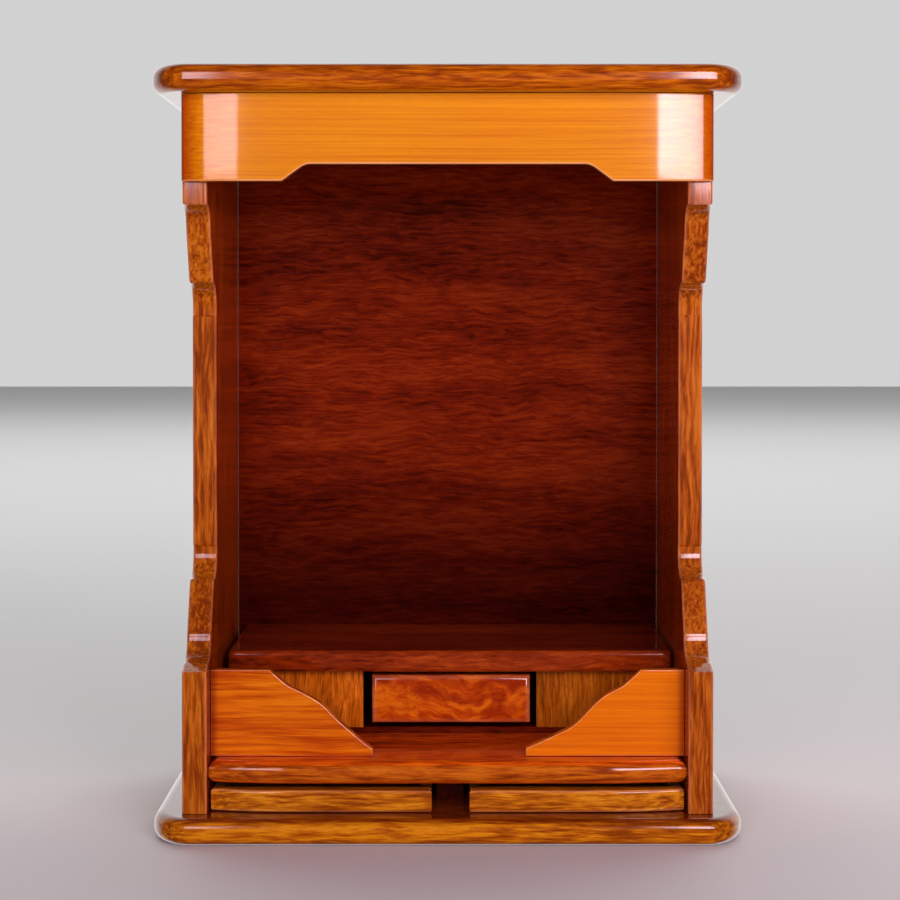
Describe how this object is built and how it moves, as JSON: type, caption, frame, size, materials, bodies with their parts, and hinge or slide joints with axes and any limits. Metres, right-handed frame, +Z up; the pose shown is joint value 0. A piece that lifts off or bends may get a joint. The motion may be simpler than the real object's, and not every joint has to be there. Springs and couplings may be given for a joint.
{
  "type": "household altar cabinet",
  "caption": "Open-fronted wooden altar niche with rounded top and base boards, a header board, scroll-cut sides and fences, a low step with a drawer, and shallow drawers in the base.",
  "frame": {"origin": "on the floor, under the middle of the base board", "axes": "+Z up, -Y out of the open front, +X to the right of someone who faces the cabinet"},
  "size_m": [0.47, 0.32, 0.614],
  "materials": {
    "amber_wood": "clear gloss varnish over amber-stained wood with fine horizontal grain",
    "brown_wood": "gloss varnish over orange-brown open-grained wood",
    "red_wood": "gloss varnish over dark red-brown wood with a wavy figure",
    "tan_wood": "thin satin varnish over tan wood with upright grain",
    "raw_wood": "planed, unvarnished"
  },
  "bodies": {
    "cabinet": {"top_board": "brown_wood", "base_board": "brown_wood", "left_side_panel": "brown_wood", "right_side_panel": "brown_wood", "back_panel": "red_wood", "fascia": "amber_wood", "floor_board": "red_wood", "base_rail": "red_wood", "left_fence": "amber_wood", "right_fence": "amber_wood", "step_top": "red_wood", "step_sole": "red_wood", "step_left_panel": "tan_wood", "step_right_panel": "tan_wood", "step_left_end": "tan_wood", "step_right_end": "tan_wood"},
    "step_drawer": {"step_drawer_front": "red_wood", "step_drawer_bottom": "raw_wood", "step_drawer_left_side": "raw_wood", "step_drawer_right_side": "raw_wood", "step_drawer_back": "raw_wood"},
    "left_base_drawer": {"left_base_drawer_front": "brown_wood", "left_base_drawer_bottom": "raw_wood", "left_base_drawer_left_side": "raw_wood", "left_base_drawer_right_side": "raw_wood", "left_base_drawer_back": "raw_wood"},
    "right_base_drawer": {"right_base_drawer_front": "brown_wood", "right_base_drawer_bottom": "raw_wood", "right_base_drawer_left_side": "raw_wood", "right_base_drawer_right_side": "raw_wood", "right_base_drawer_back": "raw_wood"}
  },
  "joints": [
    {"name": "step_drawer_slide", "type": "slide", "parent": "cabinet", "child": "step_drawer", "axis": [0, -1, 0], "range_m": [0, 0.1]},
    {"name": "left_base_drawer_slide", "type": "slide", "parent": "cabinet", "child": "left_base_drawer", "axis": [0, -1, 0], "range_m": [0, 0.17]},
    {"name": "right_base_drawer_slide", "type": "slide", "parent": "cabinet", "child": "right_base_drawer", "axis": [0, -1, 0], "range_m": [0, 0.17]}
  ]
}
